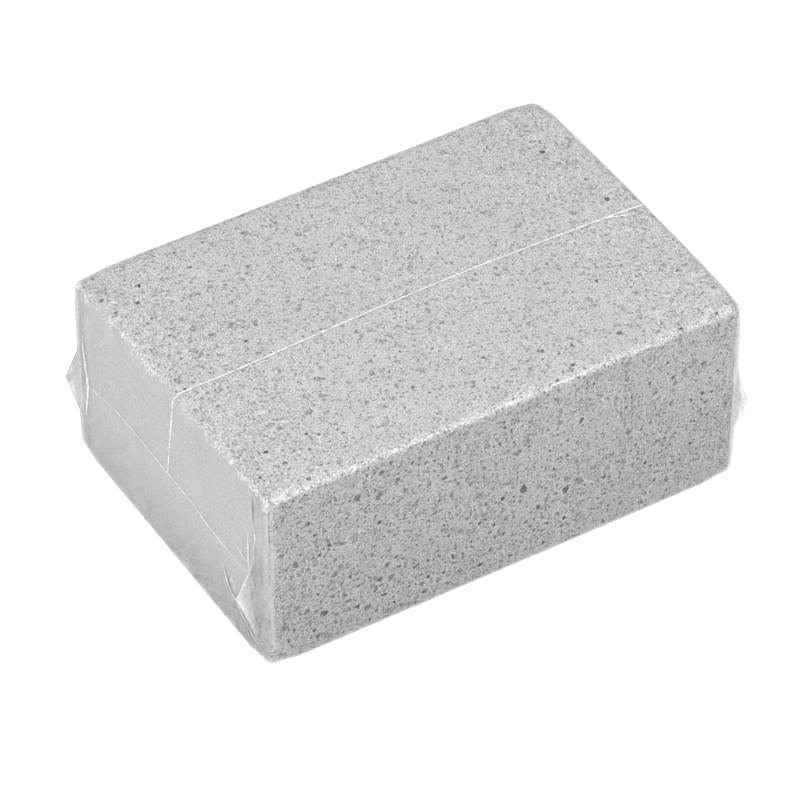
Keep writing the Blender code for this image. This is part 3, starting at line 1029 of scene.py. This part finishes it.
def film_material():
    """Clear film, white where it is slack or pinched, hazy with painted sheen along its far edges,
    and in broken glints of painted highlight.

    Where it is white, part of the light comes through it.
    """
    made, tree = new_material("clear film")
    place = add_node(tree, "ShaderNodeTexCoord").outputs["Object"]
    milk = layer_node(tree, "milk")
    pinch = layer_node(tree, "pinch")
    rim = layer_node(tree, "rim")
    far = layer_node(tree, "haze_and_sheen")
    crest = layer_node(tree, "crest")
    specks = noise_node(tree, place, 0.45, 3, 0.75)
    patches = noise_node(tree, place, 4.0, 2, 0.6)
    fleck = noise_node(tree, place, 0.4, 2, 0.6)
    cover = math_node(tree, "MULTIPLY", milk, span(tree, patches, 0.3, 0.7, *MILK_COVER))
    along = add_node(tree, "ShaderNodeMapping", Vector=place)
    along.inputs["Scale"].default_value = (1.0, 1.0, 0.25)
    folds = noise_node(tree, along.outputs[0], 1.6, 2, 0.6)
    drawn = math_node(tree, "MULTIPLY", pinch, span(tree, folds, 0.35, 0.65, *PINCH_COVER))
    cover = math_node(tree, "MAXIMUM", cover, drawn)
    cover = math_node(tree, "MAXIMUM", cover, math_node(tree, "MULTIPLY", crest, CREST_COVER))
    # Haze and painted sheen at the far edges
    cover = math_node(tree, "MAXIMUM", cover, math_node(tree, "MULTIPLY", far, HAZE_AND_SHEEN_COVER))
    # Painted highlights: broken white glints in the band that the rim layer gives
    clusters = noise_node(tree, place, 2.6, 1, 0.5)
    near = math_node(tree, "ADD", specks, math_node(tree, "MULTIPLY", rim, 0.15))
    near = math_node(tree, "ADD", near, span(tree, clusters, 0.3, 0.7, -0.08, 0.08))
    in_band = span(tree, rim, 0.05, 0.3, 0.0, 1.0)
    painted_glint = math_node(tree, "MULTIPLY", span(tree, near, 0.655, 0.7, 0.0, 1.0), in_band)
    cover = math_node(tree, "MAXIMUM", cover, math_node(tree, "MULTIPLY", painted_glint, PAINTED_GLINT_COVER))
    plain = span(tree, fleck, 0.3, 0.7, 0.60, 0.96)
    # Painted shade: the pinched film and its ears are a little greyer
    plain = math_node(tree, "MULTIPLY", plain, span(tree, pinch, 0.0, 1.0, 1.0, 0.80))
    # Whiter in the glints, at the far edges and along an ear's rim: painted highlight and sheen
    highlight_and_sheen = math_node(tree, "MAXIMUM", math_node(tree, "MAXIMUM", painted_glint, far), crest)
    white = math_node(tree, "ADD", plain, math_node(tree, "MULTIPLY", highlight_and_sheen, 0.2), clamp=True)
    blue = math_node(tree, "MULTIPLY", white, 0.99)
    whiteness = add_node(tree, "ShaderNodeCombineColor", Red=white, Green=white, Blue=blue)
    tint = whiteness.outputs[0]
    cover = math_node(tree, "MAXIMUM", cover, LEAST_COVER)
    gloss = add_node(tree, "ShaderNodeFresnel")
    gloss.inputs["IOR"].default_value = FILM_IOR
    cover = math_node(tree, "ADD", cover, gloss.outputs[0], clamp=True)
    wrinkle = noise_node(tree, place, 1.2, 2, 0.5)
    bump = add_node(tree, "ShaderNodeBump", Height=wrinkle)
    bump.inputs["Strength"].default_value = 0.5
    bump.inputs["Distance"].default_value = 0.1 * MM
    shader = add_node(tree, "ShaderNodeBsdfPrincipled", Base_Color=tint, Normal=bump.outputs[0])
    shader.inputs["Roughness"].default_value = 0.22
    glow = add_node(tree, "ShaderNodeBsdfTranslucent", Color=tint)
    sheet = add_node(tree, "ShaderNodeMixShader")
    sheet.inputs[0].default_value = FILM_GLOW
    tree.links.new(shader.outputs[0], sheet.inputs[1])
    tree.links.new(glow.outputs[0], sheet.inputs[2])
    show_through(tree, sheet.outputs[0], cover)
    return made


def bead_material(name, white, least, most):
    """Film doubled over in a thin line: more or less see-through along it."""
    made, tree = new_material(name)
    place = add_node(tree, "ShaderNodeTexCoord").outputs["Object"]
    broken = noise_node(tree, place, 1.5, 3, 0.6)
    cover = span(tree, broken, 0.35, 0.6, least, most)
    shader = add_node(tree, "ShaderNodeBsdfPrincipled")
    shader.inputs["Base Color"].default_value = (white, white, 0.99 * white, 1.0)
    shader.inputs["Roughness"].default_value = 0.3
    show_through(tree, shader.outputs[0], cover)
    return made


def floor_material():
    made, tree = new_material("pale floor")
    shader = add_node(tree, "ShaderNodeBsdfPrincipled")
    shader.inputs["Base Color"].default_value = (0.93, 0.93, 0.925, 1.0)
    shader.inputs["Roughness"].default_value = 0.9
    shader.inputs["Emission Color"].default_value = (1.0, 1.0, 0.99, 1.0)
    shader.inputs["Emission Strength"].default_value = FLOOR_GLOW
    show(tree, shader.outputs[0])
    return made


# The studio


def build_floor():
    bpy.ops.mesh.primitive_plane_add(size=FLOOR_SIZE, location=(0.0, 0.0, FLOOR_HEIGHT))
    floor = bpy.context.object
    floor.name = "floor"
    floor.data.materials.append(floor_material())


def area_light(name, towards, distance, size, power):
    """A square soft light, off the block in one direction and turned to face it."""
    lamp = bpy.data.lights.new(name, "AREA")
    lamp.shape = "SQUARE"
    lamp.size = size
    lamp.energy = power
    thing = bpy.data.objects.new(name, lamp)
    thing.location = Vector(towards).normalized() * distance + LIGHTS_AIM
    thing.rotation_euler = Vector(towards).to_track_quat("Z", "Y").to_euler()
    bpy.context.scene.collection.objects.link(thing)


def build_lights():
    for name, (towards, distance, size, power) in LIGHTS.items():
        area_light(name, towards, distance, size, power)
    world = bpy.data.worlds.new("studio")
    world.use_nodes = True
    sky = world.node_tree.nodes["Background"]
    sky.inputs["Color"].default_value = (1.0, 1.0, 1.0, 1.0)
    sky.inputs["Strength"].default_value = SKY_STRENGTH
    bpy.context.scene.world = world
    bpy.context.scene.view_settings.view_transform = "Standard"


def build_camera():
    camera = bpy.data.cameras.new("camera")
    camera.sensor_width = SENSOR
    camera.lens = CAMERA_PIXELS * SENSOR / FRAME_PIXELS
    camera.clip_start = 0.05
    camera.clip_end = 20.0
    thing = bpy.data.objects.new("camera", camera)
    thing.location = CAMERA_PLACE * MM
    thing.rotation_euler = CAMERA_TURN
    bpy.context.scene.collection.objects.link(thing)
    bpy.context.scene.camera = thing


build_camera()
stone_surface = build_stone()
stone_surface.data.materials.append(pumice_material())
film_sheet = build_film()
film_sheet.data.materials.append(film_material())
film_seams = build_seams()
film_seams.data.materials.append(bead_material("fused seam", 0.93, 0.35, 0.95))
film_creases = build_creases("film_creases", CREASES)
film_creases.data.materials.append(bead_material("crease", 0.95, 0.2, 0.6))
# Dark beads that paint the shadows under loose edges of film
film_shades = build_creases("film_shades", SHADES)
film_shades.data.materials.append(bead_material("shade under film", 0.12, 0.3, 0.7))
build_floor()
build_lights()
